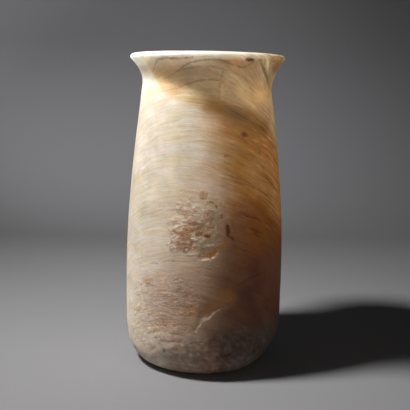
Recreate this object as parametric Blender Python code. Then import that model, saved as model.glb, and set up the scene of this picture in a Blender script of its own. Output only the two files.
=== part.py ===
"""Alabaster vase: a tall hollow jar carved from one block of banded stone.

The foot is flat and its edge is well rounded. The body is widest low down and
narrows upwards in a quarter of a sine wave to a low neck, where it flares out in
a parabola to a rounded lip with a flat top. The inside follows the body at an
even wall, above a thicker floor. Old damage is kept: the lip is chipped in front
on the right, and two flakes have come off the front of the body.

The origin is in the middle of the underside, +Z is up, and the front is at -Y.
"""

import math

import bpy
import bmesh
from mathutils import Vector

# Heights, in metres
HEIGHT = 0.200
NECK_DROP = 0.0200
BELLY_HEIGHT = 0.0560
FOOT_ROUND = 0.0290

# Widths: the neck's radius, and how far the rim, the belly and the foot's flat stand from it
NECK_RADIUS = 0.0415
RIM_OVERHANG = 0.0080
BELLY_SWELL = 0.0108
FOOT_EDGE = 0.0153
LIP_ROUND = 0.0024

# The inside
WALL = 0.0075
FLOOR = 0.0140
FLOOR_ROUND = 0.0160
MOUTH_ROUND = 0.0015

# The neck was cut a little aslant: lower on the right and higher on the left by this much
NECK_SLANT = 0.0018

# A flake's scar is flat, deepest at the ledge along its lower side. Each has the direction
# and the height of the ledge's middle, the ledge's climb to the right, the scar's depth
# and how far it reaches above the ledge. Angles are in degrees, to the right of the front,
# and heights are shares of the whole height.
SCARS = (
    {"angle": 6.0, "up": 0.400, "climb": 8.0, "depth": 0.0012, "reach": 0.015},
    {"angle": 10.0, "up": 0.225, "climb": 37.0, "depth": 0.0013, "reach": 0.018},
)

# Chips in the lip: direction, radius of the bite and its depth
CHIPS = (
    {"angle": 27.0, "radius": 0.0034, "depth": 0.0010},
    {"angle": 72.0, "radius": 0.0050, "depth": 0.0014},
)
CHIP_LEAN = math.radians(35)
CHIP_TURN = (0.3, 0.2)

# How finely the turned shape is cut
SEGMENTS = 72
ROW = 0.0060
FOOT_CUTS = 7
FLARE_CUTS = 4
LIP_CUTS = 5
LIP_START = math.radians(-40)
MOUTH_CUTS = 3
FLOOR_CUTS = 4

STONE_COLOUR = (0.62, 0.50, 0.36, 1.0)
STONE_ROUGHNESS = 0.45

# Worked out from the sizes above
NECK_HEIGHT = HEIGHT - NECK_DROP
RIM_RADIUS = NECK_RADIUS + RIM_OVERHANG
BELLY_RADIUS = NECK_RADIUS + BELLY_SWELL
FOOT_RADIUS = BELLY_RADIUS - FOOT_EDGE
QUARTER = 0.5 * math.pi


def body_radius(height):
    """Radius of the outside between the rounded foot and the neck."""
    if height <= BELLY_HEIGHT:
        return BELLY_RADIUS
    down = (NECK_HEIGHT - height) / (NECK_HEIGHT - BELLY_HEIGHT)
    return NECK_RADIUS + BELLY_SWELL * math.sin(QUARTER * down)


def levels(low, high):
    """Even heights above low, about a row apart, up to high and with it."""
    count = max(2, round((high - low) / ROW))
    return [low + (high - low) * i / count for i in range(1, count + 1)]


def arc(centre, radius_r, radius_z, start, end, count):
    """Points of an elliptical arc in the profile plane, both ends included."""
    angles = [start + (end - start) * i / count for i in range(count + 1)]
    return [
        (centre[0] + radius_r * math.cos(a), centre[1] + radius_z * math.sin(a))
        for a in angles
    ]


def flare(end, count):
    """Points of the parabola from the neck out to the lip, without either end."""
    shares = [i / count for i in range(1, count)]
    return [
        (NECK_RADIUS + (end[0] - NECK_RADIUS) * s**2, NECK_HEIGHT + (end[1] - NECK_HEIGHT) * s)
        for s in shares
    ]


def outer_profile():
    """Radius and height from the middle of the underside out and up to the lip's top."""
    points = [(0.0, 0.0)]
    points += arc((FOOT_RADIUS, FOOT_ROUND), FOOT_EDGE, FOOT_ROUND, -QUARTER, 0.0, FOOT_CUTS)
    points += [(body_radius(z), z) for z in levels(FOOT_ROUND, NECK_HEIGHT)]
    lip_centre = (RIM_RADIUS - LIP_ROUND, HEIGHT - LIP_ROUND)
    lip = arc(lip_centre, LIP_ROUND, LIP_ROUND, LIP_START, QUARTER, LIP_CUTS)
    return points + flare(lip[0], FLARE_CUTS) + lip


def inner_profile():
    """Radius and height from the mouth's edge down to the middle of the inner floor."""
    mouth_centre = (NECK_RADIUS - WALL + MOUTH_ROUND, HEIGHT - MOUTH_ROUND)
    points = arc(mouth_centre, MOUTH_ROUND, MOUTH_ROUND, QUARTER, 2 * QUARTER, MOUTH_CUTS)
    wall_levels = levels(FLOOR + FLOOR_ROUND, NECK_HEIGHT)[::-2]
    points += [(body_radius(z) - WALL, z) for z in wall_levels]
    floor_centre = (BELLY_RADIUS - WALL - FLOOR_ROUND, FLOOR + FLOOR_ROUND)
    points += arc(floor_centre, FLOOR_ROUND, FLOOR_ROUND, 0.0, -QUARTER, FLOOR_CUTS)
    return points + [(0.0, FLOOR)]


def turn(mesh, profile):
    """Spins a profile round the axis and returns its vertices."""
    before = set(mesh.verts)
    verts = [mesh.verts.new((radius, 0.0, z)) for radius, z in profile]
    edges = [mesh.edges.new(pair) for pair in zip(verts, verts[1:])]
    bmesh.ops.spin(
        mesh, geom=verts + edges, cent=(0, 0, 0), axis=(0, 0, 1),
        angle=4 * QUARTER, steps=SEGMENTS, use_merge=True,
    )
    made = [v for v in mesh.verts if v not in before]
    bmesh.ops.remove_doubles(mesh, verts=made, dist=1e-6)
    return [v for v in mesh.verts if v not in before]


def slant(vert):
    """Moves a point near the neck down on the right and up on the left, as the neck was cut."""
    away = min(1.0, abs(vert.co.z - NECK_HEIGHT) / NECK_DROP)
    radius = math.hypot(vert.co.x, vert.co.y)
    if radius > 0.0:
        fade = 1.0 - away * away * (3.0 - 2.0 * away)
        vert.co.z -= NECK_SLANT * fade * vert.co.x / radius


def vase_mesh():
    """The outside and the inside, each turned, joined by the flat top of the lip."""
    mesh = bmesh.new()
    for vert in turn(mesh, outer_profile()):
        slant(vert)
    turn(mesh, inner_profile())
    bmesh.ops.bridge_loops(mesh, edges=[e for e in mesh.edges if e.is_boundary])
    bmesh.ops.recalc_face_normals(mesh, faces=mesh.faces)
    data = bpy.data.meshes.new("vase")
    mesh.to_mesh(data)
    mesh.free()
    data.shade_smooth()
    data.set_sharp_from_angle(angle=math.radians(35))
    return data


def outwards(angle):
    """The level direction away from the axis, at an angle to the right of the front."""
    return Vector((math.sin(angle), -math.cos(angle), 0.0))


def cut_with(name, shape, location, rotation, part):
    """Takes a closed shape away from the part, and hides the shape."""
    data = bpy.data.meshes.new(name)
    shape.to_mesh(data)
    shape.free()
    cutter = bpy.data.objects.new(name, data)
    bpy.context.scene.collection.objects.link(cutter)
    cutter.location = location
    cutter.rotation_euler = rotation
    cutter.hide_render = True
    cutter.display_type = "WIRE"
    cut = part.modifiers.new(name, "BOOLEAN")
    cut.operation = "DIFFERENCE"
    cut.object = cutter


def flake(number, scar, part):
    """Cuts a scar with a block that is wider and thicker than the flake that came off."""
    angle = math.radians(scar["angle"])
    height = HEIGHT * scar["up"]
    wide, thick, tall = BELLY_RADIUS, 0.5 * BELLY_RADIUS, 1.5 * scar["reach"]
    shape = bmesh.new()
    block = bmesh.ops.create_cube(shape, size=1.0)["verts"]
    bmesh.ops.scale(shape, vec=(wide, thick, tall), verts=block)
    bmesh.ops.translate(shape, vec=(0.0, -0.5 * thick, 0.5 * tall), verts=block)
    location = outwards(angle) * (body_radius(height) - scar["depth"])
    location.z = height
    tilt = math.atan(scar["depth"] / scar["reach"])
    climb = math.radians(scar["climb"])
    cut_with(f"flake_{number}", shape, location, (tilt, -climb, angle), part)


def chip(number, place, part):
    """Bites the underside of the lip with a faceted ball."""
    angle = math.radians(place["angle"])
    shape = bmesh.new()
    bmesh.ops.create_icosphere(shape, subdivisions=2, radius=place["radius"])
    bite = outwards(angle) * math.cos(CHIP_LEAN)
    bite.z = -math.sin(CHIP_LEAN)
    lip = outwards(angle) * (RIM_RADIUS - LIP_ROUND)
    lip.z = HEIGHT - LIP_ROUND
    location = lip + bite * (LIP_ROUND + place["radius"] - place["depth"])
    cut_with(f"chip_{number}", shape, location, (*CHIP_TURN, angle), part)


def stone():
    """Banded alabaster, waxy and worn."""
    material = bpy.data.materials.new("alabaster")
    material.use_nodes = True
    shader = material.node_tree.nodes["Principled BSDF"]
    shader.inputs["Base Color"].default_value = STONE_COLOUR
    shader.inputs["Roughness"].default_value = STONE_ROUGHNESS
    shader.inputs["Metallic"].default_value = 0.0
    return material


def main():
    for old in list(bpy.data.objects):
        bpy.data.objects.remove(old)
    vase = bpy.data.objects.new("vase", vase_mesh())
    vase.data.materials.append(stone())
    bpy.context.scene.collection.objects.link(vase)
    for number, scar in enumerate(SCARS):
        flake(number, scar, vase)
    for number, place in enumerate(CHIPS):
        chip(number, place, vase)


main()
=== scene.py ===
# %% [markdown]
# # An alabaster vase
#
# The vase is one block of banded stone, turned and hollowed by hand, then buried and worn for a
# very long time. It is a single piece, so the whole lesson is about one surface: its outline, the
# relief that wear has left on it, and the stone's own layers, stains and translucency.
#
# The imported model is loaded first. It fixes every dimension: the fine surface built here stands in
# for its one solid and never leaves its box.

import itertools
import math

import bpy
import numpy as np
from mathutils import Matrix, Vector


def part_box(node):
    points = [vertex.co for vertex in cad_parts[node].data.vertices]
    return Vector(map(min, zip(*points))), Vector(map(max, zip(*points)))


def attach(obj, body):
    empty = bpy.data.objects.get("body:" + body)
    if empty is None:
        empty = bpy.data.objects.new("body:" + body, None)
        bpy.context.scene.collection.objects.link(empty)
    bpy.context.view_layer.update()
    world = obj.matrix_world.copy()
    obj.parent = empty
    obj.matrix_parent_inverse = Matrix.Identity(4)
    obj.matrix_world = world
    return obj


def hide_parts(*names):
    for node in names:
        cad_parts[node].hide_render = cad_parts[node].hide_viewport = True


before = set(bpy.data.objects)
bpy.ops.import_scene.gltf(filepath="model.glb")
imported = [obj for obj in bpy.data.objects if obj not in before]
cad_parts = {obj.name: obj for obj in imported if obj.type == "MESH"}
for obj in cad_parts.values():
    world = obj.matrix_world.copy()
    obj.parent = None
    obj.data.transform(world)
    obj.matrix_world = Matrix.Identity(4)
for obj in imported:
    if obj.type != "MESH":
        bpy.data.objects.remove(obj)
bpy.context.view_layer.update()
low_corner, high_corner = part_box("vase")
MM = 0.001
HEIGHT = high_corner.z - low_corner.z
BELLY_RADIUS = 0.5 * (high_corner.x - low_corner.x)
print(f"vase {HEIGHT / MM:.1f} mm high, {2 * BELLY_RADIUS / MM:.1f} mm wide")

# %% [markdown]
# ## Camera
#
# The camera stands less than half a metre in front of the vase, just below the level of the lip,
# and looks down a little, so the lip is a thin straight band and the foot is a curve. It leans by a
# degree, as a hand-held one does. It could be set by eye with a tracking constraint. It is written
# as three turns instead, because they were found by matching the vase's edges.

# %% Place the camera
CAMERA_PLACE = Vector((0.0, -0.430, 0.1797))
CAMERA_LENS = 57.67
LOOK_DOWN = math.radians(10.2)
LEAN = math.radians(1.07)

camera_data = bpy.data.cameras.new("camera")
camera_data.lens = CAMERA_LENS
camera_data.sensor_width = 36.0
camera_data.clip_start = 0.01
camera = bpy.data.objects.new("camera", camera_data)
bpy.context.scene.collection.objects.link(camera)
camera.matrix_world = (
    Matrix.Translation(CAMERA_PLACE)
    @ Matrix.Rotation(0.5 * math.pi - LOOK_DOWN, 4, "X")
    @ Matrix.Rotation(LEAN, 4, "Z")
)
bpy.context.scene.camera = camera
print("camera", [round(x, 3) for x in camera.location], "lens", camera_data.lens)

# %% [markdown]
# ## Outline
#
# A turned vessel is one outline carried round an axis. The outline could be a Bezier curve with a
# Screw modifier. Here it is a function, so that every point of the surface knows how high it is
# and which way the outline faces there, and the wear can be worked out from that.
#
# The outline runs in one go from the middle of the underside, round the foot, up the body, out to
# the lip, over it, down the inside and in to the middle of the inner floor.

# %% The outline's sizes
NECK_RADIUS = 41.5 * MM
RIM_OVERHANG = 8.0 * MM
NECK_DROP = 20.0 * MM
BELLY_HEIGHT = 56.0 * MM
FOOT_ROUND = 29.0 * MM
FOOT_EDGE = 15.3 * MM
LIP_ROUND = 2.4 * MM
LIP_START = math.radians(-40)
WALL = 7.5 * MM
FLOOR = 14.0 * MM
FLOOR_ROUND = 16.0 * MM
MOUTH_ROUND = 1.5 * MM

NECK_HEIGHT = HEIGHT - NECK_DROP
RIM_RADIUS = NECK_RADIUS + RIM_OVERHANG
FOOT_RADIUS = BELLY_RADIUS - FOOT_EDGE
MOUTH_RADIUS = NECK_RADIUS - WALL
SMOOTH_ABOVE = 118.0 * MM
QUARTER = 0.5 * math.pi


def body_radius(height):
    """The belly's radius up to its height, then a quarter of a sine wave in to the neck."""
    down = np.clip((NECK_HEIGHT - height) / (NECK_HEIGHT - BELLY_HEIGHT), 0.0, 1.0)
    return NECK_RADIUS + (BELLY_RADIUS - NECK_RADIUS) * np.sin(QUARTER * down)


def arc(centre, radius_r, radius_z, start, end, count):
    """Points of an ellipse: centre plus radius times cosine and sine of evenly spaced angles."""
    turn = np.linspace(start, end, count + 1)[1:]
    return np.stack([centre[0] + radius_r * np.cos(turn), centre[1] + radius_z * np.sin(turn)], 1)


def straight(start, end, count):
    """Evenly spaced points of a straight line, without its first."""
    share = np.linspace(0.0, 1.0, count + 1)[1:, None]
    return (1.0 - share) * np.array(start) + share * np.array(end)


def wall_points(low, high, inwards, count):
    """Points of the body's curve between two heights, moved inwards by a wall."""
    heights = np.linspace(low, high, count + 1)[1:]
    return np.stack([body_radius(heights) - inwards, heights], 1)


def flare_points(end, count):
    """A parabola from the neck: the radius grows with the square of the share of the way up."""
    share = np.linspace(0.0, 1.0, count + 1)[1:]
    radius = NECK_RADIUS + (end[0] - NECK_RADIUS) * share**2
    return np.stack([radius, NECK_HEIGHT + (end[1] - NECK_HEIGHT) * share], 1)


lip_centre = (RIM_RADIUS - LIP_ROUND, HEIGHT - LIP_ROUND)
lip_low = (
    lip_centre[0] + LIP_ROUND * math.cos(LIP_START),
    lip_centre[1] + LIP_ROUND * math.sin(LIP_START),
)
mouth_centre = (MOUTH_RADIUS + MOUTH_ROUND, HEIGHT - MOUTH_ROUND)
floor_centre = (BELLY_RADIUS - WALL - FLOOR_ROUND, FLOOR + FLOOR_ROUND)
stretches = {
    "under": straight((0.0, 0.0), (FOOT_RADIUS, 0.0), 9),
    "foot": arc((FOOT_RADIUS, FOOT_ROUND), FOOT_EDGE, FOOT_ROUND, -QUARTER, 0.0, 44),
    "belly": wall_points(FOOT_ROUND, SMOOTH_ABOVE, 0.0, 138),
    "shoulder": wall_points(SMOOTH_ABOVE, NECK_HEIGHT, 0.0, 52),
    "flare": flare_points(lip_low, 22),
    "lip": arc(lip_centre, LIP_ROUND, LIP_ROUND, LIP_START, QUARTER, 14),
    "top": straight((lip_centre[0], HEIGHT), (mouth_centre[0], HEIGHT), 5),
    "mouth": arc(mouth_centre, MOUTH_ROUND, MOUTH_ROUND, QUARTER, 2 * QUARTER, 4),
    "inside": wall_points(HEIGHT - MOUTH_ROUND, FLOOR + FLOOR_ROUND, WALL, 24),
    "floor_edge": arc(floor_centre, FLOOR_ROUND, FLOOR_ROUND, 0.0, -QUARTER, 6),
    "floor": straight((floor_centre[0], FLOOR), (0.0, FLOOR), 5)[:-1],
}
outline = np.concatenate(list(stretches.values()))
row_part = np.repeat(list(stretches), [len(points) for points in stretches.values()])
along = np.gradient(outline, axis=0)
outline_normal = np.stack([along[:, 1], -along[:, 0]], 1)
outline_normal /= np.linalg.norm(outline_normal, axis=1, keepdims=True)
print(len(outline), "rows:", {name: len(points) for name, points in stretches.items()})

# %% [markdown]
# ## The grid round the axis
#
# The outline is carried round the axis at a few hundred angles. They could be evenly spaced, but
# the damage that matters is in front, so the angles crowd together there and thin out behind.

# %% Carry the outline round
COLUMNS = 304
CROWDING = 0.5

turn = np.linspace(-math.pi, math.pi, COLUMNS, endpoint=False)
column_angle = turn - CROWDING * np.sin(turn)
angle, _ = np.meshgrid(np.degrees(column_angle), outline[:, 0])
radius = np.repeat(outline[:, :1], COLUMNS, 1)
height = np.repeat(outline[:, 1:], COLUMNS, 1)


def to_points(angle, radius, height):
    """Across is radius times the sine of the angle, towards the front minus its cosine."""
    turn = np.radians(angle)
    parts = np.broadcast_arrays(radius * np.sin(turn), -radius * np.cos(turn), height)
    return np.stack(parts, -1)


base = to_points(angle, radius, height)
outside = np.isin(row_part, ["foot", "belly", "shoulder", "flare", "lip"])[:, None]
finest_step = float(np.diff(column_angle).min()) * BELLY_RADIUS / MM
print("grid", angle.shape, "finest step", round(finest_step, 2), "mm")

# %% [markdown]
# ## Noise and the stone's layers
#
# Wear is irregular, so most of the relief starts from noise. Blender has noise nodes, but they only
# reach the shading and the displacement. A small noise of our own gives numbers for the mesh.
#
# Alabaster grows in layers. In this block they are tilted: they rise towards the front on the left.
# Where tilted layers meet the round outside they show as nested arches. The "layer height" of a
# point says which layer it is in, and both the relief and the colours follow it.

# %% Noise and layers
LAYER_TILT = 0.74
LAYER_RISE = math.radians(-13)
TABLE_SIZE = 4096
HASH_FACTORS = np.array([73856093, 19349663, 83492791])


def ease(share):
    """3 t squared minus 2 t cubed, for t kept from 0 to 1."""
    share = np.clip(share, 0.0, 1.0)
    return share * share * (3.0 - 2.0 * share)


def noise(points, size, seed):
    """Random values from -1 to 1 at the corners of cubes of this size, blended across each cube."""
    cell = points / np.array(size)
    low = np.floor(cell).astype(np.int64)
    share = ease(cell - low)
    table = np.random.default_rng(seed).uniform(-1.0, 1.0, TABLE_SIZE)
    total = np.zeros(points.shape[:-1])
    for corner in itertools.product((0, 1), repeat=3):
        key = (low + np.array(corner)) * HASH_FACTORS
        key = (key[..., 0] ^ key[..., 1] ^ key[..., 2]) % TABLE_SIZE
        weight = np.prod(np.where(corner, share, 1.0 - share), -1)
        total += table[key] * weight
    return total


def fractal(points, size, seed, octaves=3):
    """A sum of noises, each half the size and half the strength of the one before."""
    total = sum(
        0.5**k * noise(points, np.array(size) * 0.5**k, seed + k) for k in range(octaves)
    )
    return total / (2.0 - 0.5 ** (octaves - 1))


tilt = np.array([-LAYER_TILT * math.sin(LAYER_RISE), LAYER_TILT * math.cos(LAYER_RISE), 1.0])
layer = base @ tilt + 1.5 * MM * noise(base, 40 * MM, 5)
in_layers = np.stack([base[..., 0], base[..., 1], layer], -1)
print("layers from", round(layer.min() / MM), "to", round(layer.max() / MM), "mm")

# %% [markdown]
# ## Marks on the surface
#
# Each scar, crack and stain has a place: an angle to the right of the front, and a height in
# millimetres. They could be painted by hand on an image, but a mark worked out from its place stays
# sharp and can also cut into the mesh. Two helpers are enough: a spot and a stroke.

# %% Spots and strokes
ragged = fractal(base, 5 * MM, 21)
fine = fractal(base, 1.8 * MM, 31)


def spot(at_angle, at_height, half_width, half_height, lean=0.0, edge=0.35, rough=0.25):
    """1 in an ellipse on the surface, easing to 0 at its edge, which noise makes ragged.
    The sizes are in millimetres and the angles in degrees."""
    across = np.radians(angle - at_angle) * radius / MM
    up = height / MM - at_height
    cos, sin = math.cos(math.radians(lean)), math.sin(math.radians(lean))
    x = (across * cos + up * sin) / half_width
    y = (up * cos - across * sin) / half_height
    distance = np.hypot(x, y) + rough * (0.7 * ragged + 0.9 * fine)
    near = np.abs(angle - at_angle) < 100.0
    return ease((1.0 - distance) / edge + 0.5) * near * outside


def stroke_distance(points):
    """Distance in millimetres to a line through places given as angle and height, and the share
    of the way along it: for each straight stretch, the nearest point is found by a dot product."""
    best = np.full(angle.shape, 1e9)
    share = np.zeros(angle.shape)
    count = len(points) - 1
    for i, ((a0, z0), (a1, z1)) in enumerate(zip(points, points[1:])):
        across = np.radians(angle - a0) * radius / MM
        up = height / MM - z0
        step_x = math.radians(a1 - a0) * radius / MM
        step_z = z1 - z0
        t = np.clip((across * step_x + up * step_z) / (step_x**2 + step_z**2), 0.0, 1.0)
        distance = np.hypot(across - t * step_x, up - t * step_z)
        closer = distance < best
        best = np.where(closer, distance, best)
        share = np.where(closer, (i + t) / count, share)
    return best, share


def stroke(points, half_width, wander=0.3):
    """A line that is 1 along its middle and fades as a bell curve; it thins towards its ends."""
    distance, share = stroke_distance(points)
    thin = np.sqrt(np.clip(4.0 * share * (1.0 - share), 0.02, 1.0))
    width = half_width * (0.45 + 0.55 * thin) * (1.0 + 0.5 * ragged)
    distance = distance + wander * fine
    return np.exp(-((distance / width) ** 2)) * outside


def above_line(points):
    """How far above a line, in millimetres, for a line given as height over angle."""
    places = np.array(points, float)
    return height / MM - np.interp(angle, places[:, 0], places[:, 1])


def between(value, start, end, soft):
    """1 where a value is between two limits, easing to 0 over a soft width outside them."""
    return ease((value - start) / soft + 1.0) * ease((end - value) / soft + 1.0)


# %% [markdown]
# ## Relief: how the surface has worn
#
# Depths are in millimetres of stone lost, and add up in one array. First come the slow unevenness
# of hand turning and a slight step between the layers. They could be a displacement texture, but
# depths that are kept as numbers can be added up, measured, and used again for the colours.

# %% Slow unevenness
lost = 0.30 + 0.22 * noise(base, 55 * MM, 1) + 0.05 * noise(base, 14 * MM, 2)
lost += 0.025 * fractal(in_layers, np.array([12, 12, 1.3]) * MM, 71)

# The foot's edge is more worn on the right and fuller on the left
lost += 1.1 * spot(72, 8, 26, 9, rough=0.0, edge=1.0)
lost -= 0.9 * spot(-68, 8, 26, 9, rough=0.0, edge=1.0)
print("turned surface uneven by", round(float(np.ptp(lost[outside[:, 0]])), 2), "mm")

# %% [markdown]
# ### Weathered skin
#
# Weather has eaten the softer layers on the lower left, so the harder ones stand as small wavy
# ripples, with crumbs between them. Above the middle is a pitted patch, where flecks of a hard skin
# still stand. The right side of the foot is only speckled. Each of these is a noise times the spot
# where it is found. The noises are wider along the layers than across them, which draws them out.

# %% Weather the skin
rough_skin = np.maximum.reduce([
    spot(-30, 40, 26, 22, lean=18, edge=0.8, rough=0.5),
    0.7 * spot(-8, 20, 16, 9, lean=10, edge=0.8, rough=0.5),
    0.75 * spot(-22, 14, 18, 11, edge=0.8, rough=0.5),
])
ripples = fractal(in_layers, np.array([8, 8, 2.0]) * MM, 41)
crumbs = fractal(in_layers, np.array([2.4, 2.4, 1.7]) * MM, 43, 2)
lost += rough_skin * (0.12 + 0.34 * ripples + 0.15 * crumbs)

speckled = spot(22, 17, 36, 15, edge=0.8, rough=0.5)
lost += 0.2 * crumbs * speckled
rippled = spot(-32, 105, 20, 12, lean=-15, edge=0.8, rough=0.5)
lost += 0.14 * ripples * rippled

pitted = spot(-6, 97, 15, 15, lean=-20, edge=0.7, rough=0.7)
flecks = fractal(in_layers, np.array([3.2, 3.2, 1.3]) * MM, 53, 2)
pits = ease(fractal(base, 3.2 * MM, 51, 2) / 0.5)
lost += pitted * (0.08 + 0.14 * crumbs - 0.16 * flecks + 0.12 * pits)
print("weathered share of the grid", round(float(np.maximum(rough_skin, pitted).mean()), 3))

# %% [markdown]
# ### Flakes
#
# Two flakes have come off in front. The upper one is a shallow hollow over a short ledge, and the
# lower one is a face over a ledge that climbs to the right in steps. Both ledges catch the light. To
# the right of them a shallow flake hangs under an edge. A Boolean cut would leave a clean facet.
# Here a flake is deepest at its ledge and fades away from it, and the ledge wanders with the noise.

# %% Take the flakes off
LEDGE_HIGH = [
    (-24, 76.6), (-10, 77.2), (-3, 78.1), (5.5, 79.0), (7, 79.8), (8.2, 81.6), (12, 85.0),
    (19, 90.4),
]
LEDGE_LOW = [
    (-8, 32.0), (-3, 35.5), (-1.5, 39.2), (0, 40.6), (4, 42.2), (6, 44.2), (8, 47.0),
    (12, 47.9), (18, 48.4), (22, 51.5),
]
EDGE_RIGHT = [(14, 57.0), (18, 60.4), (22, 61.8), (30, 64.6), (38, 66.6), (47, 67.2)]


def flake(left, left_soft, right, right_soft, away, step, reach):
    """Rises over the step at the ledge and fades over the reach away from it, in millimetres. On
    the left and the right it eases to 0 at an angle, each over its own soft width."""
    sides = ease((angle - left) / left_soft) * ease((right - angle) / right_soft)
    return sides * ease(away / step) * (1.0 - ease(away / reach)) * outside


up_high = above_line(LEDGE_HIGH) + 0.12 * ragged + 0.1 * fine
up_low = above_line(LEDGE_LOW) + 1.0 * ragged + 1.4 * fine
down_right = -above_line(EDGE_RIGHT) + 0.3 * ragged
lost += 0.5 * flake(-5, 3, 10, 3, up_high, 0.4, 9)
lost += 0.5 * flake(-9, 13, 19, 5, up_low, 0.5, 14)
lost += 0.6 * flake(18, 3, 47, 3, down_right, 0.8, 15)
print("most stone lost so far", round(float(lost.max()), 2), "mm")

# %% [markdown]
# ### Cracks
#
# A crack runs from the upper flake to the left, another crosses the foot, and a few small dark marks
# are a little sunk. Each is a stroke. It cuts the surface here, and is kept to darken it later.

# %% Cut the cracks
# Each crack: its places, half its width, its depth and how dark it is
CRACKS = [
    ([(-40, 72.4), (-33, 73.4), (-24, 76.2), (-14, 76.6), (-3, 77.8)], 0.4, 0.10, 0.5),
    ([(15.2, 99.0), (16.2, 95.5), (16, 92.6)], 1.4, 0.15, 0.95),
    ([(16.6, 92.4), (18.4, 91.6), (20.4, 89.2)], 0.9, 0.15, 0.75),
    ([(27.4, 195.3), (34, 195.3)], 0.8, 0.15, 1.0),
    ([(29.0, 152.6), (31.2, 152.2)], 1.5, 0.05, 0.75),
    ([(1.2, 92.6), (3.4, 92.9)], 1.0, 0.05, 0.6),
    ([(-8, 25.8), (2, 27.4), (12, 28.8), (24, 28.2), (36, 28.0)], 0.45, 0.25, 0.5),
    ([(15, 17.4), (17, 16.6), (20, 17.8)], 0.9, 0.4, 0.9),
    # Along the right flake's edge: a shallow real cut, darkened as a painted shadow line under the edge.
    ([(19, 60.4), (24, 62.0), (30, 64.2), (38, 66.2), (45, 66.8)], 0.6, 0.15, 0.6),
    ([(40, 196.3), (46, 192.4), (52, 189.6), (60, 187), (70, 182.6), (79, 181)], 0.6, 0.2, 0.3),
]
cracked = np.zeros(angle.shape)
for points, half_width, depth, darkness in CRACKS:
    line = stroke(points, half_width)
    lost += depth * line
    cracked = np.maximum(cracked, darkness * line)

mean_lost = float(lost[outside[:, 0]].mean())
print("stone lost: mean", round(mean_lost, 2), "mm, most", round(float(lost.max()), 2), "mm")

# %% [markdown]
# ## Chips in the lip
#
# The lip has lost a few bites from its lower edge. They could be Boolean cuts with balls, as in
# the solid model. On a fine grid a bite can be pressed in: every point inside the ball is moved out
# to its surface, towards the axis.

# %% Press the chips into the lip
# Each chip: its angle and height, the ball's radius and the depth of the bite
CHIPS = [
    (28, 195.8, 3.0, 1.0),
    (72, 196.2, 5.2, 1.7),
    (-18, 195.6, 1.6, 0.6),
    (-25, 195.8, 1.3, 0.5),
]
BALL_BELOW = 1.0


def press_chip(points, at_angle, at_height, ball, depth):
    """Moves what is inside a ball to the ball's far side, along the line to the axis."""
    lip_radius = RIM_RADIUS + (ball - depth) * MM
    ball_height = (at_height - BALL_BELOW) * MM
    centre = to_points(np.array(at_angle), np.array(lip_radius), np.array(ball_height))
    offset = points - centre
    inwards = -centre * np.array([1.0, 1.0, 0.0])
    inwards /= np.linalg.norm(inwards)
    run = offset @ inwards
    side2 = (offset**2).sum(-1) - run**2
    reach = np.sqrt(np.clip((ball * MM) ** 2 - side2, 0.0, None))
    move = np.where((side2 < (ball * MM) ** 2) & (run < reach) & (run > -reach), reach - run, 0.0)
    return points + move[..., None] * inwards * outside[..., None]


print(len(CHIPS), "chips, the deepest", max(depth for *_, depth in CHIPS), "mm")

# %% [markdown]
# ## The surface
#
# Now the depths move the surface inwards along its normal. Inside there are only the faint rings
# that the hollowing tool left. Last, the neck is slanted a little, as it was cut: down on the right
# and up on the left, by a share that fades away above and below it.

# %% Put the surface together
NECK_SLANT = 1.8 * MM
RING_SPACING = 1.1 * MM

depth_map = np.where(outside, lost, 0.0)
rings = 0.08 * np.sin(height / RING_SPACING) + 0.15 * noise(base, 12 * MM, 81)
inside_rows = np.isin(row_part, ["inside", "floor_edge"])[:, None]
depth_map = np.where(inside_rows, -rings, depth_map)
surface = base.copy()
normal = to_points(angle, outline_normal[:, :1], outline_normal[:, 1:])
surface -= depth_map[..., None] * MM * normal
for chip in CHIPS:
    surface = press_chip(surface, *chip)
away = np.abs(height - NECK_HEIGHT) / NECK_DROP
slanted = np.where(outside, NECK_SLANT * (1.0 - ease(away)) * np.sin(np.radians(angle)), 0.0)
surface[..., 2] -= slanted
surface[..., 2] = np.clip(surface[..., 2], 0.0, HEIGHT)
print("surface reaches", np.round(np.abs(surface[..., :2]).max((0, 1)) / MM, 2), "mm")

# %% [markdown]
# ## Broad tones
#
# The block isn't one colour. The upper left is cream, and it turns to honey and toffee towards the right,
# partly the stone's colour and partly painted shade on the side away from the lamp. Below, a pinkish shell
# tone turns to umber, which on the lower right is partly painted shade. Between them on the right is a
# rusty zone, and the foot is slate on the right, partly painted shade, and dusty on the left.
#
# These tones could be a gradient for each in the material. There would be many nodes that all ask
# the same question, namely where a point is. So the tones are mixed here, and kept as one colour
# attribute.

# %% Colours of the stone
CREAM = np.array([0.67, 0.63, 0.565])
HONEY = np.array([0.60, 0.31, 0.065])
TOFFEE = np.array([0.74, 0.42, 0.17])
GOLD = np.array([0.68, 0.60, 0.44])
OLIVE_SHADE = np.array([0.67, 0.52, 0.31])
TAWNY_SHADE = np.array([0.33, 0.18, 0.055])
RUST = np.array([0.41, 0.165, 0.04])
SHELL = np.array([0.80, 0.72, 0.64])
CLAY_SHADE = np.array([0.42, 0.225, 0.13])
UMBER_SHADE = np.array([0.16, 0.058, 0.038])
RUSSET = np.array([0.23, 0.10, 0.066])
SLATE_SHADE = np.array([0.145, 0.122, 0.12])
DUST = np.array([0.66, 0.60, 0.54])
BLUSH = np.array([0.50, 0.33, 0.25])
SAND = np.array([0.66, 0.47, 0.33])
SHADE_BRICK = np.array([0.24, 0.09, 0.05])
PALE_LIT = np.array([0.90, 0.90, 0.91])


def mix(first, second, share):
    """Share 0 gives the first colour and 1 the second."""
    share = np.clip(share, 0.0, 1.0)[..., None]
    return first * (1.0 - share) + second * share


print("cream to umber", np.round(mix(CREAM, UMBER_SHADE, np.linspace(0.0, 1.0, 3)), 2).tolist())

# %% [markdown]
# ### Where a point is
#
# The borders of the tones run along the layers and wander. So the place of a point, from left to
# right, is its angle plus a drift that comes from noise. Behind, the angle is folded back, which
# makes the back a plainer mirror of the front and leaves no seam.

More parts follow.
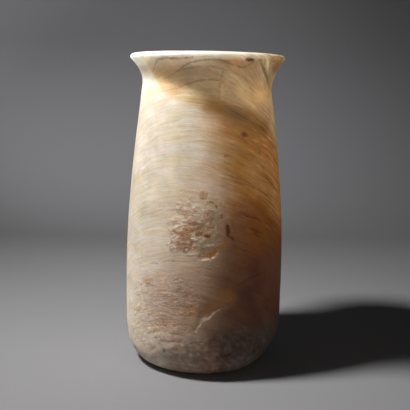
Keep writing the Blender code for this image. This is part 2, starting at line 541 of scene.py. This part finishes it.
# %% Places and drift
drift = 9.0 * noise(in_layers, np.array([35, 35, 12]) * MM, 91)
drift += 4.0 * noise(in_layers, np.array([14, 14, 4]) * MM, 92)
across = np.degrees(np.arcsin(np.sin(np.radians(angle))))
place = across + drift
layer_mm = layer / MM
height_mm = height / MM
behind = ease((np.abs(angle) - 120.0) / 40.0)
print("drift up to", round(float(np.abs(drift).max()), 1))

# %% The upper half
GOLD_ABOVE = 141.0
RUST_LINE = [(0, 106), (12, 112), (22, 118), (32, 122), (42, 122), (54, 108), (80, 100)]

# Cream to honey and toffee towards the right: partly the stone's colour, partly painted shade on the side
# away from the lamp.
tone = mix(CREAM, HONEY, ease((place + 14.0) / 46.0))
tone = mix(tone, TOFFEE, 0.9 * ease((place - 30.0) / 16.0))
gold = ease((layer_mm - GOLD_ABOVE + 3.0) / 11.0) * ease((place + 35.0) / 50.0)
tone = mix(tone, GOLD, 0.9 * gold)
rust = ease((0.6 * drift - above_line(RUST_LINE)) / 14.0)
rust *= ease((place - 2.0) / 20.0) * (1.0 - behind)
tone = mix(tone, RUST, rust)
print("upper half", np.round(tone.mean((0, 1)), 2))

# %% The lower half and the foot
# Shell to clay and umber towards the right: partly the stone's colour, partly painted shade on the lower
# right.
low = ease((98.0 - height_mm + 0.3 * drift) / 32.0)
lower = mix(mix(SHELL, CLAY_SHADE, ease((place + 50.0) / 78.0)), UMBER_SHADE, ease((place + 6.0) / 46.0))
lower = mix(lower, RUSSET, ease((place - 32.0) / 16.0))
tone = mix(tone, lower, low)
# Slate on the foot's right: partly the stone's colour, partly painted shade.
slate_shade = ease((45.0 - height_mm + 0.3 * drift) / 20.0) * ease((place + 2.0) / 18.0)
tone = mix(tone, SLATE_SHADE, 0.8 * slate_shade)
dusty = np.maximum(ease((-26.0 - place) / 26.0), 0.35 * between(place, 18, 42, 10))
tone = mix(tone, DUST, 0.7 * ease((19.0 - height_mm + 0.2 * drift) / 14.0) * dusty)
print("with the lower half", np.round(tone.mean((0, 1)), 2))

# %% [markdown]
# ### Local tints
#
# Some places differ from the broad tones: the weathered skin is a brownish pink, and the stone round the
# stains is sandy. Some tints are painted light: painted shade in the hollows of the foot's ripples and
# painted highlight on their crests, painted shade along the lip's shadow edge, at the foot's front and
# along the edge of the shade on the front right, and painted light on the face of the lower flake. Each
# tint is a colour and the share of it that is laid over the tones before it.

# %% Lay on the local tints
# A brick-brown stroke along the edge between light and shade on the front right: painted shade.
SHADE_EDGE_STROKE = [(18, 94), (18, 80), (20, 68)]

foot_ripple_shading = spot(-24, 16, 26, 15, edge=0.8, rough=0.5)
# The first spot lifts the face of the lower flake, which tilts away from the lamp, as painted light; the
# second is sandy stone round the stains.
sandy_and_lit = np.maximum(spot(4, 50, 11, 10, lean=20, edge=1.4), spot(-4, 99, 22, 20, lean=-20, edge=1.5))
shade_edge_distance, _ = stroke_distance(SHADE_EDGE_STROKE)
local_tints = [
    (BLUSH, 0.5 * spot(-24, 46, 20, 20, lean=18, edge=1.2)),
    (RUST, 0.65 * spot(15.5, 55.5, 5.4, 7.0, lean=25, edge=0.8, rough=0.6)),
    # Painted shade in the hollows of the foot's ripples, and painted highlight on their crests.
    (CLAY_SHADE, 0.35 * foot_ripple_shading * ease(1.8 * ripples)),
    (SHELL, 0.6 * foot_ripple_shading * ease(0.2 - 1.8 * ripples)),
    # Painted shade along the lip's shadow edge on the left of the neck.
    (TAWNY_SHADE, 0.3 * spot(-29, 180, 12, 4.5, edge=1.2)),
    (SHELL, 0.7 * spot(3, 121, 12, 9, edge=1.4)),
    # Darkens the foot's front near the floor: painted shade.
    (SLATE_SHADE, 0.35 * spot(-2, 10, 18, 9, edge=1.2)),
    (SAND, 0.5 * sandy_and_lit),
    (SHADE_BRICK, 0.45 * np.exp(-(((shade_edge_distance + 0.3 * drift) / 9.0) ** 2))),
]
for tint, share in local_tints:
    tone = mix(tone, tint, share)
print(len(local_tints), "tints, mean", np.round(tone.mean((0, 1)), 2))

# %% [markdown]
# ### Neck and lip
#
# The neck is olive above a border that follows the lip's cast shadow and climbs steeply on the left:
# partly the stone's colour, partly painted shade that carries the shadow lower. A tawny band of painted
# shadow lies under it on the right. The lip and the left of the flare are almost white, partly rubbed
# stone and partly painted light, which fades to the right, away from the lamp. The lip's flat top gets the
# most light, and is kept darker, or it would burn out.

# %% Tone the neck and the lip
NECK_SHADE_LINE = [
    (-75, 215), (-55, 199), (-53.5, 186), (-46, 179), (-30, 171), (-10, 166), (10, 163),
    (60, 152), (110, 145),
]
SHADE_BAND = [(2, 169), (12, 167), (22, 164.5), (32, 161.5), (42, 158.5), (52, 156)]

# Olive above a line along the lip's cast shadow: partly the stone's colour, partly painted shade that
# carries the shadow lower.
neck_shade = ease((above_line(NECK_SHADE_LINE) + 0.3 * drift) / 5.0) * (1.0 - behind) * (1.0 - gold)
tone = mix(tone, OLIVE_SHADE, 0.85 * neck_shade)
# A tawny band of painted shadow along the lower part of the lip's shadow on the right.
shade_distance, _ = stroke_distance(SHADE_BAND)
tone = mix(tone, TAWNY_SHADE, 0.85 * np.exp(-(((shade_distance + 0.2 * drift) / 6.2) ** 2)))

# The lip and the left of the flare are paled: partly rubbed stone, partly painted light that fades to the
# right, away from the lamp.
worn_lit_lip = ease((height_mm - 194.6 + 4.5 * ease((-44.0 - across) / 14.0)) / 1.4)
worn_lit_lip *= 0.06 + 0.94 * ease((50.0 - across) / 46.0)
worn_lit_lip *= np.where(outside, 1.0, 0.4)
worn_lit_flare = ease((height_mm - 187.5) / 7.0) * ease((14.0 - across) / 26.0) * outside
tone = mix(tone, PALE_LIT, np.maximum(worn_lit_lip, 0.8 * worn_lit_flare))
facing_up = ease((outline_normal[:, 1:] - 0.6) / 0.4) * (height_mm > 190.0)
tone *= (1.0 - 0.3 * facing_up)[..., None]
tone *= (1.0 - 0.7 * np.clip(crumbs, -0.6, 0.6) * speckled)[..., None]
print("mean tone", np.round(tone.mean((0, 1)), 2))

# %% [markdown]
# ### How strongly the layers show
#
# On the bleached left the layers are faint, and on the right they stand out as dark and pale
# dashes. On the flare they would be drawn out into long streaks, so they are damped there.

# %% Strength of the banding
banding = 0.20 + 0.60 * ease((place - 8.0) / 20.0) * ease((height_mm - 60.0) / 50.0)
banding *= 1.0 - 0.8 * ease((height_mm - 166.0) / 12.0)
banding = np.maximum(banding, 0.4 * np.maximum(neck_shade, gold))
banding *= 0.55 + 0.45 * ease(0.5 + 1.6 * noise(in_layers, np.array([22, 22, 7]) * MM, 95))
print("banding from", round(float(banding.min()), 2), "to", round(float(banding.max()), 2))

# %% [markdown]
# ## Masks for the finish
#
# The finish needs to know where things are: weathered stone, stains, amber and grey patches, pale ridges
# and crests that are painted highlights, veins and cracks. Each mask is a number from 0 to 1 at every
# vertex, kept with the mesh as an attribute. Painted masks would need an image. These come from the same
# places as the relief.

# %% Places of the stains and patches
# Each: its angle and height, its half width and half height, its lean and its strength
STAINS = [
    (30, 152.4, 3.2, 1.6, -8, 1.0),
    (16, 140.2, 3.0, 1.2, 20, 0.45),
    (-1.5, 117, 3.0, 2.4, 0, 0.42),
    (-1.5, 114.9, 2.2, 0.5, 0, 0.6),
    (4.6, 112.8, 1.5, 0.7, -20, 0.75),
    (7.8, 110.4, 1.3, 0.9, -45, 0.7),
    (11.5, 104.5, 0.8, 1.8, 0, 0.55),
    (16, 95.5, 1.3, 3.4, 0, 0.9),
    (18.5, 91, 1.7, 1.1, -40, 0.8),
    (45, 141, 2.2, 0.9, -35, 0.5),
    (36, 121, 3.0, 0.8, -25, 0.5),
    (2.2, 92.8, 2.4, 1.3, -5, 1.0),
    (-4, 93.6, 2.6, 1.2, 20, 0.6),
    (-16, 93, 5.0, 1.4, -15, 0.55),
    (-13, 87, 5.5, 4.5, 0, 0.5),
    (-6, 85.4, 1.8, 1.2, 30, 0.5),
    (-7, 97, 8.0, 5.0, 25, 0.5),
    (3, 105, 4.0, 4.0, 0, 0.4),
    (4, 98, 3.0, 4.0, 0, 0.4),
    (-26, 195.0, 2.0, 0.7, 0, 0.5),
    (-14, 195.6, 1.6, 0.6, 0, 0.4),
    (14, 194.6, 1.8, 0.6, 0, 0.4),
    (40, 195.4, 2.2, 0.7, 0, 0.5),
    # These two darken the lip's right end, away from the lamp: partly stain, partly painted shade.
    (70, 194, 12.0, 5.0, 0, 0.45),
    (60, 197, 9.0, 3.0, 0, 0.45),
    (30, 196, 3.6, 0.9, 0, 0.5),
    (-27, 36.5, 2.0, 2.4, 0, 0.4),
]
AMBERS = [
    (15, 55.5, 4.0, 5.6, 25, 0.5),
    (8, 50.5, 10.0, 4.0, 25, 0.5),
    (10.5, 84.8, 5.6, 2.4, 34, 0.6),
    (16, 89.4, 4.4, 2.6, 34, 0.4),
    (4.4, 81.4, 4.8, 1.8, 14, 0.8),
    (-7, 46, 8.0, 5.5, 20, 0.42),
    (-21, 52, 6.0, 2.0, 5, 0.3),
    (-52, 55, 5.0, 6.0, 10, 0.3),
    (-43, 61, 9.0, 2.6, 6, 0.42),
    (-61, 126, 2.5, 7.0, 0, 0.35),
]
GREYS = [
    (-16, 57, 5.0, 2.6, 0, 0.45),
    (-5, 95.5, 3.8, 2.2, 0, 0.65),
    (1, 86.6, 5.0, 3.6, 20, 0.6),
    (-4, 58, 2.0, 4.0, 0, 0.35),
    (14, 75, 5.0, 5.0, 0, 0.25),
]


def spots(places, edge=0.5, rough=0.4):
    """The strongest of several spots, each given as angle, height, half sizes, lean, strength."""
    found = np.zeros(angle.shape)
    for at_angle, at_height, half_width, half_height, lean, strength in places:
        mark = strength * spot(at_angle, at_height, half_width, half_height, lean, edge, rough)
        found = np.maximum(found, mark)
    return found


print(len(STAINS), "stains,", len(AMBERS), "amber and", len(GREYS), "grey patches")

# %% [markdown]
# ### Stain cluster, veins and crests
#
# The stains above the middle lie in a brownish cluster. Thin veins follow the layers as arches on the neck
# and the flare, and a few cross them. The ledges of the flakes, the edge on the right and a patch on the
# left get pale crests, which are painted highlights where the edges catch the light. Veins and crests are
# strokes, the stains and the cluster are spots.

# %% Places of the cluster, veins and crests
CLUSTER = [
    (-13, 90, 9.0, 8.0, 10, 1.0),
    (-3, 95, 8.0, 6.5, 0, 0.9),
    (-6, 103, 11.0, 6.0, -20, 0.85),
    (7, 101, 7.5, 9.0, 0, 0.8),
]
# Each vein or crest: its places, half its width and its strength
VEINS = [
    ([(38, 196.3), (46, 192.2), (52, 189.2), (60, 186.4), (70, 182.0), (79, 180)], 1.1, 0.8),
    ([(-51, 187), (-44, 191.4), (-38, 194.5), (-30, 195.5), (-20, 195.0), (-10, 196.0)], 0.8, 0.6),
    ([(-27, 186.5), (-20, 190), (-12, 193.2), (0, 194.8), (9, 194.8), (18, 192.6), (26, 191.2),
      (31, 192.4), (35, 195.2)], 0.7, 0.6),
    ([(35, 194.4), (42, 189.6), (48, 184.6), (55, 178.4), (62, 172)], 1.0, 0.35),
    ([(-26, 177.6), (-18, 180.2), (-10, 182.4), (-2, 183.6), (6, 184), (14, 183)], 0.9, 0.5),
    ([(-34, 184), (-25, 187.2), (-16, 189.6), (-6, 191.0), (4, 191.2), (14, 189.4)], 0.9, 0.45),
    ([(-14, 175.2), (-4, 178.0), (6, 178.8), (18, 177.2), (28, 173.6)], 0.9, 0.4),
    ([(20, 189), (30, 186.4), (38, 182.2), (46, 176)], 0.9, 0.4),
    ([(11.6, 190.4), (11.4, 186), (10.0, 180), (9.9, 175), (8.6, 169)], 1.3, 0.4),
    ([(20, 158), (28, 154.6), (36, 149.4), (46, 142.0), (56, 136)], 0.8, 0.35),
    ([(22, 125), (32, 122.4), (42, 119.2), (52, 113.8), (62, 106)], 0.9, 0.5),
    ([(-38, 146), (-26, 150.6), (-12, 152.4), (0, 152.2), (10, 150.4)], 0.7, 0.2),
]
# Pale crests along the ledges and edges: painted highlights.
CREST_HIGHLIGHT = [
    ([(-4.6, 33.4), (-2.6, 36.8), (-0.6, 39.8), (1.6, 41.2)], 1.1, 0.75),
    ([(0.6, 40.8), (3, 41.6), (5.6, 43.6), (8, 46.4)], 0.8, 0.4),
    ([(-2, 78.4), (5.6, 79.2), (7.4, 80.8)], 0.6, 0.6),
    ([(-50, 55), (-48, 49), (-46, 42)], 1.3, 0.6),
    ([(19, 61.6), (24, 63.4), (30, 65.6), (38, 67.6)], 0.9, 0.12),
]


def strokes(places, wander):
    """The strongest of several strokes, each given as its places, half its width, its strength."""
    found = np.zeros(angle.shape)
    for points, half_width, strength in places:
        found = np.maximum(found, strength * stroke(points, half_width, wander))
    return found


veins = strokes(VEINS, 0.3)
crest_highlight = strokes(CREST_HIGHLIGHT, 1.1)
print(len(VEINS), "veins and", len(CREST_HIGHLIGHT), "crests")

# %% [markdown]
# ### The masks together
#
# A hollow is where more stone is lost than nearby, and a ridge where less is. The hollows of the weathered
# skin are tinted and darkened, partly weathered colour and partly painted shade, and its ridges are paled
# as painted highlight.


# %% Work out the masks
def smoothed(values, reach):
    """Each value's mean over a square of neighbours, taken along the rows and then the columns."""
    steps = range(-reach, reach + 1)
    for axis in (0, 1):
        values = sum(np.roll(values, step, axis) for step in steps) / len(steps)
    return values


uneven = np.maximum(rough_skin, pitted)
hollow = (lost - smoothed(lost, 4)) / 0.25
masks = {
    # The weathered tint grows in deeper hollows: partly weathered colour, partly painted shade.
    "weathered": np.maximum(uneven * (0.35 + np.clip(hollow, 0.0, 1.0)), spots(CLUSTER, 0.9, 1.0)),
    "stain": spots(STAINS),
    "amber": spots(AMBERS, 1.6, 0.5),
    "grey": spots(GREYS),
    # The deepest hollows of the weathered skin are darkened as painted shade.
    "crack": np.maximum(cracked, 0.25 * np.clip(hollow - 0.4, 0.0, 1.0) * uneven),
    # Ridges of the weathered skin and the crests are painted highlight; the flecks of hard skin are pale
    # stone.
    "pale_ridge_and_highlight": np.maximum.reduce([
        np.clip(-hollow, 0.0, 1.0) * uneven,
        0.8 * pitted * ease((flecks - 0.22) / 0.2) * ease((6.0 - angle) / 10.0),
        crest_highlight,
    ]),
    "vein": veins,
    "banding": banding,
}
for name, mask in masks.items():
    masks[name] = np.where(outside, np.clip(mask, 0.0, 1.0), 0.0)
masks["layer"] = layer_mm
print({name: round(float(mask.mean()), 4) for name, mask in masks.items()})

# %% [markdown]
# ## The mesh
#
# The grid becomes one closed mesh: quads between neighbouring rows and columns, joined at the seam
# behind, and a fan of triangles to one vertex in the middle of each floor.


# %% Build the vase
def closed_mesh(name, grid, first_pole, last_pole):
    """Quads join each row to the next and the last column to the first; poles close both ends."""
    rows, columns = grid.shape[:2]
    vertices = np.concatenate([grid.reshape(-1, 3), [first_pole, last_pole]])
    index = np.arange(rows * columns).reshape(rows, columns)
    right = np.roll(index, -1, 1)
    quads = np.stack([index[:-1], right[:-1], right[1:], index[1:]], -1).reshape(-1, 4)
    first, last = rows * columns, rows * columns + 1
    bottom = np.stack([np.full(columns, first), right[0], index[0]], -1)
    top = np.stack([np.full(columns, last), index[-1], right[-1]], -1)
    mesh = bpy.data.meshes.new(name)
    mesh.from_pydata(vertices.tolist(), [], quads.tolist() + bottom.tolist() + top.tolist())
    mesh.shade_smooth()
    mesh.update()
    return mesh


vase_mesh = closed_mesh("alabaster_vase", surface, (0.0, 0.0, 0.0), (0.0, 0.0, FLOOR))
for name, mask in masks.items():
    values = np.append(mask.ravel(), [mask[0, 0], mask[-1, 0]]).astype(np.float32)
    vase_mesh.attributes.new(name, "FLOAT", "POINT").data.foreach_set("value", values)
colours = np.concatenate([tone.reshape(-1, 3), tone[0, :1], tone[-1, :1]])
colours = np.concatenate([colours, np.ones((len(colours), 1))], 1).astype(np.float32)
vase_mesh.attributes.new("tone", "FLOAT_COLOR", "POINT").data.foreach_set("color", colours.ravel())
vase = bpy.data.objects.new("alabaster_vase", vase_mesh)
bpy.context.scene.collection.objects.link(vase)
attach(vase, "root")
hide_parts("vase")
triangles = sum(len(face.vertices) - 2 for face in vase_mesh.polygons)
print("vase mesh", len(vase_mesh.vertices), "vertices", triangles, "triangles")

# %% [markdown]
# ## Effects shared by the stone
#
# The stone is translucent, waxy where it was polished and dull where it has weathered. Its fine
# detail is smaller than the mesh, so it is made in the material by node groups: one for the
# layers, one for the grain, and one that gives a soft mask a ragged edge.

# %% Helpers for node groups


def new_group(name, inputs, outputs):
    """An empty shader node group with float inputs (name to default) and float outputs."""
    group = bpy.data.node_groups.new(name, "ShaderNodeTree")
    for label, default in inputs.items():
        socket = group.interface.new_socket(label, in_out="INPUT", socket_type="NodeSocketFloat")
        socket.default_value = default
    for label in outputs:
        group.interface.new_socket(label, in_out="OUTPUT", socket_type="NodeSocketFloat")
    return group, group.nodes.new("NodeGroupInput"), group.nodes.new("NodeGroupOutput")


def maths(tree, operation, first, second=None, clamp=False):
    """A Math node. Each value is a socket or a number."""
    node = tree.nodes.new("ShaderNodeMath")
    node.operation = operation
    node.use_clamp = clamp
    for socket, value in zip(node.inputs, (first, second)):
        if isinstance(value, bpy.types.NodeSocket):
            tree.links.new(value, socket)
        elif value is not None:
            socket.default_value = value
    return node.outputs[0]


def noise_node(tree, size_mm, detail=2.0, roughness=0.5):
    """Noise over object coordinates, with features of about this size in millimetres."""
    coordinates = tree.nodes.new("ShaderNodeTexCoord")
    node = tree.nodes.new("ShaderNodeTexNoise")
    node.inputs["Scale"].default_value = 1000.0 / size_mm
    node.inputs["Detail"].default_value = detail
    node.inputs["Roughness"].default_value = roughness
    tree.links.new(coordinates.outputs["Object"], node.inputs["Vector"])
    return node.outputs["Fac"]


# %% Layers, grain and ragged edges
layers_group, group_in, group_out = new_group("stone_layers", {"Layer": 0.0}, ["Fine", "Broad"])
coordinates = layers_group.nodes.new("ShaderNodeTexCoord")
separate = layers_group.nodes.new("ShaderNodeSeparateXYZ")
layers_group.links.new(coordinates.outputs["Object"], separate.inputs["Vector"])
wavy = maths(layers_group, "MULTIPLY", noise_node(layers_group, 9.0), 2.0)
wavy_layer = maths(layers_group, "ADD", group_in.outputs["Layer"], wavy)
for label, spacing, reach, detail in (("Fine", 1.8, 12.0, 3.0), ("Broad", 7.0, 45.0, 2.0)):
    combine = layers_group.nodes.new("ShaderNodeCombineXYZ")
    for axis in ("X", "Y"):
        level = maths(layers_group, "MULTIPLY", separate.outputs[axis], 1000.0 / reach)
        layers_group.links.new(level, combine.inputs[axis])
    layers_group.links.new(maths(layers_group, "MULTIPLY", wavy_layer, 1.0 / spacing), combine.inputs["Z"])
    streaks = layers_group.nodes.new("ShaderNodeTexNoise")
    streaks.inputs["Scale"].default_value = 1.0
    streaks.inputs["Detail"].default_value = detail
    layers_group.links.new(combine.outputs["Vector"], streaks.inputs["Vector"])
    sharper = maths(layers_group, "MULTIPLY_ADD", streaks.outputs["Fac"], 2.4, clamp=True)
    sharper.node.inputs[2].default_value = -0.7
    layers_group.links.new(sharper, group_out.inputs[label])

grain_group, group_in, group_out = new_group("stone_grain", {}, ["Grain", "Mottle", "Cloud", "Blush"])
grain_group.links.new(noise_node(grain_group, 2.2, 4.0, 0.7), group_out.inputs["Mottle"])
grain_group.links.new(noise_node(grain_group, 0.9, 3.0, 0.6), group_out.inputs["Grain"])
grain_group.links.new(noise_node(grain_group, 12.0, 3.0, 0.55), group_out.inputs["Cloud"])
grain_group.links.new(noise_node(grain_group, 17.0, 4.0, 0.6), group_out.inputs["Blush"])

ragged_group, group_in, group_out = new_group("ragged_edge", {"Mask": 0.0, "Raggedness": 0.9}, ["Mask"])
speckle = maths(ragged_group, "SUBTRACT", noise_node(ragged_group, 1.5, 3.0, 0.65), 0.5)
shifted = maths(ragged_group, "ADD", group_in.outputs["Mask"], maths(ragged_group, "MULTIPLY", speckle, group_in.outputs["Raggedness"]))
present = maths(ragged_group, "MULTIPLY", group_in.outputs["Mask"], 4.0, clamp=True)
crisp = maths(ragged_group, "MULTIPLY_ADD", shifted, 1.8, clamp=True)
crisp.node.inputs[2].default_value = -0.35
ragged_group.links.new(maths(ragged_group, "MULTIPLY", crisp, present), group_out.inputs["Mask"])
print("node groups", [group.name for group in bpy.data.node_groups])

# %% [markdown]
# ## The stone's finish
#
# Alabaster's depth comes from light that enters the stone and leaves it nearby. A plain colour
# would make it look like painted plaster, so a part of the light is scattered below the surface,
# red light farther than blue. The colour is the broad tone, darkened by the layers; then come the
# amber, grey, stained and cracked places, each laid over the one before.

# %% Make the alabaster
BAND_TINT = (0.68, 0.56, 0.43, 1.0)
DARK_DASH = (0.60, 0.49, 0.38, 1.0)
PALE_DASH = (1.32, 1.50, 1.85, 1.0)
PINK_TINT = (1.03, 0.93, 0.88, 1.0)
OCHRE_TINT = (0.98, 0.94, 0.82, 1.0)
BROAD_TINT = (1.0, 0.93, 0.80, 1.0)
AMBER = (0.56, 0.25, 0.06, 1.0)
GREY = (0.47, 0.36, 0.21, 1.0)
STAIN = (0.31, 0.094, 0.018, 1.0)
WORN = (0.48, 0.33, 0.235, 1.0)
RIDGE_AND_HIGHLIGHT = (0.87, 0.74, 0.59, 1.0)
CRACK = (0.10, 0.036, 0.008, 1.0)
VEIN = (0.30, 0.165, 0.06, 1.0)

material = bpy.data.materials.new("alabaster")
material.use_nodes = True
tree = material.node_tree
shader = tree.nodes["Principled BSDF"]


def attribute(name):
    node = tree.nodes.new("ShaderNodeAttribute")
    node.attribute_name = name
    return node


def grouped(group, **inputs):
    node = tree.nodes.new("ShaderNodeGroup")
    node.node_tree = group
    for label, socket in inputs.items():
        tree.links.new(socket, node.inputs[label])
    return node


def overlay(under, colour, share, blend="MIX"):
    """Lays a colour over another one where the share is 1."""
    node = tree.nodes.new("ShaderNodeMix")
    node.data_type = "RGBA"
    node.blend_type = blend
    tree.links.new(share, node.inputs[0])
    tree.links.new(under, node.inputs[6])
    node.inputs[7].default_value = colour
    return node.outputs[2]


bands = grouped(layers_group, Layer=attribute("layer").outputs["Fac"])
grain = grouped(grain_group)
strength = attribute("banding").outputs["Fac"]
dark_band = maths(tree, "SUBTRACT", 1.0, bands.outputs["Fine"])
dark_broad = maths(tree, "SUBTRACT", 1.0, bands.outputs["Broad"])
colour = attribute("tone").outputs["Color"]
colour = overlay(colour, BAND_TINT, maths(tree, "MULTIPLY", dark_band, strength), "MULTIPLY")
colour = overlay(colour, BROAD_TINT, dark_broad, "MULTIPLY")
colour = overlay(colour, BAND_TINT, maths(tree, "MULTIPLY", dark_broad, maths(tree, "MULTIPLY", strength, 0.6)), "MULTIPLY")
for tint, sign in ((DARK_DASH, -4.0), (PALE_DASH, 4.0)):
    dash = maths(tree, "MULTIPLY_ADD", bands.outputs["Fine"], sign, clamp=True)
    dash.node.inputs[2].default_value = -0.5 * sign - 0.7
    colour = overlay(colour, tint, maths(tree, "MULTIPLY", dash, strength), "MULTIPLY")
for tint, sign in ((PINK_TINT, 5.0), (OCHRE_TINT, -5.0)):
    blush = maths(tree, "MULTIPLY_ADD", grain.outputs["Blush"], sign, clamp=True)
    blush.node.inputs[2].default_value = -0.5 * sign
    colour = overlay(colour, tint, blush, "MULTIPLY")
for name, laid, amount, raggedness in (
    # The weathered tint, stronger in hollows as partly painted shade.
    ("weathered", WORN, 0.55, 0.6),
    ("amber", AMBER, 0.8, 0.5),
    ("grey", GREY, 0.6, 0.9),
    ("stain", STAIN, 0.85, 0.7),
    # Paled ridges and crests: painted highlight.
    ("pale_ridge_and_highlight", RIDGE_AND_HIGHLIGHT, 0.6, 0.9),
    ("vein", VEIN, 0.72, 0.7),
    ("crack", CRACK, 0.8, 0.5),
):
    edge = grouped(ragged_group, Mask=attribute(name).outputs["Fac"])
    edge.inputs["Raggedness"].default_value = raggedness
    colour = overlay(colour, laid, maths(tree, "MULTIPLY", edge.outputs["Mask"], amount))
patchy = maths(tree, "SUBTRACT", grain.outputs["Mottle"], 0.5)
patchy = maths(tree, "MULTIPLY", patchy, maths(tree, "ADD", attribute("weathered").outputs["Fac"], 0.15))
cloud = maths(tree, "MULTIPLY_ADD", grain.outputs["Cloud"], 0.55)
cloud.node.inputs[2].default_value = 0.725
cloud = maths(tree, "ADD", cloud, maths(tree, "MULTIPLY", patchy, 0.9))
shade = tree.nodes.new("ShaderNodeVectorMath")
shade.operation = "SCALE"
tree.links.new(colour, shade.inputs[0])
tree.links.new(cloud, shade.inputs["Scale"])
tree.links.new(shade.outputs[0], shader.inputs["Base Color"])

dull = maths(tree, "MULTIPLY_ADD", attribute("weathered").outputs["Fac"], 0.3)
dull.node.inputs[2].default_value = 0.48
tree.links.new(dull, shader.inputs["Roughness"])
crumbly = maths(tree, "MULTIPLY", grain.outputs["Mottle"], attribute("weathered").outputs["Fac"])
relief = maths(tree, "ADD", grain.outputs["Grain"], maths(tree, "MULTIPLY", bands.outputs["Fine"], 0.6))
relief = maths(tree, "ADD", relief, maths(tree, "MULTIPLY", crumbly, 7.0))
bump = tree.nodes.new("ShaderNodeBump")
bump.inputs["Strength"].default_value = 0.6
bump.inputs["Distance"].default_value = 0.25 * MM
tree.links.new(relief, bump.inputs["Height"])
tree.links.new(bump.outputs["Normal"], shader.inputs["Normal"])
shader.inputs["Specular IOR Level"].default_value = 0.2
shader.inputs["Subsurface Weight"].default_value = 0.45
shader.inputs["Subsurface Radius"].default_value = (1.0, 0.93, 0.80)
shader.inputs["Subsurface Scale"].default_value = 0.015
vase_mesh.materials.append(material)

# %% [markdown]
# ## Floor and light
#
# The vase stands on a plain pale sheet that curves up behind it, as in a small studio. The light
# is one soft lamp high on the left, and slightly in front: it rakes across the relief, whitens the
# left side and throws the lip's shadow down across the neck. A weak even light fills the rest.

# %% Lay the floor and set the lamps
FLOOR_FRONT = -1.6
FLOOR_BACK = 0.35
CURVE_RADIUS = 0.25
FLOOR_HALF_WIDTH = 2.0
FLOOR_COLOUR = (0.24, 0.24, 0.25, 1.0)
FLOOR_BOUNCE = (0.14, 0.14, 0.145, 1.0)

bend = np.linspace(-QUARTER, 0.0, 25)
side_view = np.concatenate([
    [[FLOOR_FRONT, 0.0]],
    np.stack([FLOOR_BACK + CURVE_RADIUS * np.cos(bend), CURVE_RADIUS + CURVE_RADIUS * np.sin(bend)], 1),
    [[FLOOR_BACK + CURVE_RADIUS, 2.5]],
])
sheet_points = np.array([[x, y, z] for y, z in side_view for x in (-FLOOR_HALF_WIDTH, FLOOR_HALF_WIDTH)])
sheet_faces = [(2 * i, 2 * i + 1, 2 * i + 3, 2 * i + 2) for i in range(len(side_view) - 1)]
sheet_mesh = bpy.data.meshes.new("floor")
sheet_mesh.from_pydata(sheet_points.tolist(), [], sheet_faces)
sheet_mesh.shade_smooth()
floor = bpy.data.objects.new("floor", sheet_mesh)
bpy.context.scene.collection.objects.link(floor)
floor_material = bpy.data.materials.new("floor_paper")
floor_material.use_nodes = True
floor_shader = floor_material.node_tree.nodes["Principled BSDF"]
light_path = floor_material.node_tree.nodes.new("ShaderNodeLightPath")
floor_colour = floor_material.node_tree.nodes.new("ShaderNodeMix")
floor_colour.data_type = "RGBA"
floor_colour.inputs[6].default_value = FLOOR_BOUNCE
floor_colour.inputs[7].default_value = FLOOR_COLOUR
floor_material.node_tree.links.new(light_path.outputs["Is Camera Ray"], floor_colour.inputs[0])
floor_material.node_tree.links.new(floor_colour.outputs[2], floor_shader.inputs["Base Color"])
floor_shader.inputs["Roughness"].default_value = 0.9
sheet_mesh.materials.append(floor_material)


def lamp(name, azimuth, elevation, distance, size, spread, watts, colour, aim=0.12):
    """A round lamp aimed at the vase's axis, from an angle to the right of the front."""
    data = bpy.data.lights.new(name, "AREA")
    data.shape = "DISK"
    data.size = size
    data.spread = math.radians(spread)
    data.energy = watts
    data.color = colour
    made = bpy.data.objects.new(name, data)
    bpy.context.scene.collection.objects.link(made)
    a, e = math.radians(azimuth), math.radians(elevation)
    towards = Vector((math.sin(a) * math.cos(e), -math.cos(a) * math.cos(e), math.sin(e)))
    target = Vector((0.0, 0.0, aim))
    made.location = target + distance * towards
    made.rotation_euler = towards.to_track_quat("Z", "Y").to_euler()


lamp("key", -72, 57, 0.56, 0.09, 110, 2.08, (1.0, 0.985, 0.965))
lamp("fill", 52, 6, 0.9, 0.25, 28, 0.09, (1.0, 0.93, 0.80), 0.212)
lamp("low", -72, 1, 0.6, 0.1, 11, 0.0045, (1.0, 0.98, 0.95), -0.006)
lamp("front", -22, -14, 0.6, 0.2, 24, 0.014, (1.0, 0.91, 0.76), 0.222)


def beam(name, azimuth, elevation, distance, half_angle, blend, watts, colour, target):
    """A narrow round beam with a soft edge, aimed at a place on or in the vase."""
    data = bpy.data.lights.new(name, "SPOT")
    data.spot_size = math.radians(2.0 * half_angle)
    data.spot_blend = blend
    data.shadow_soft_size = 0.02
    data.energy = watts
    data.color = colour
    made = bpy.data.objects.new(name, data)
    bpy.context.scene.collection.objects.link(made)
    a, e = math.radians(azimuth), math.radians(elevation)
    towards = Vector((math.sin(a) * math.cos(e), -math.cos(a) * math.cos(e), math.sin(e)))
    made.location = Vector(target) + distance * towards
    made.rotation_euler = towards.to_track_quat("Z", "Y").to_euler()


beam("glow", -118, 32, 1.0, 1.75, 0.5, 215.0, (0.88, 1.0, 1.0), (-0.011, 0.0055, 0.196))
beam("edge", -95, 10, 1.0, 1.2, 1.0, 45.0, (1.0, 0.93, 0.80), (-0.034, -0.030, 0.1945))
beam("backdrop", -50, 38, 1.15, 19.0, 1.0, 50.0, (1.0, 0.98, 1.0), (-0.3, 0.6, 0.33))
world = bpy.data.worlds.new("studio")
world.use_nodes = True
world.node_tree.nodes["Background"].inputs["Color"].default_value = (0.95, 0.97, 1.0, 1.0)
world.node_tree.nodes["Background"].inputs["Strength"].default_value = 0.04
bpy.context.scene.world = world
bpy.context.scene.view_settings.view_transform = "Standard"
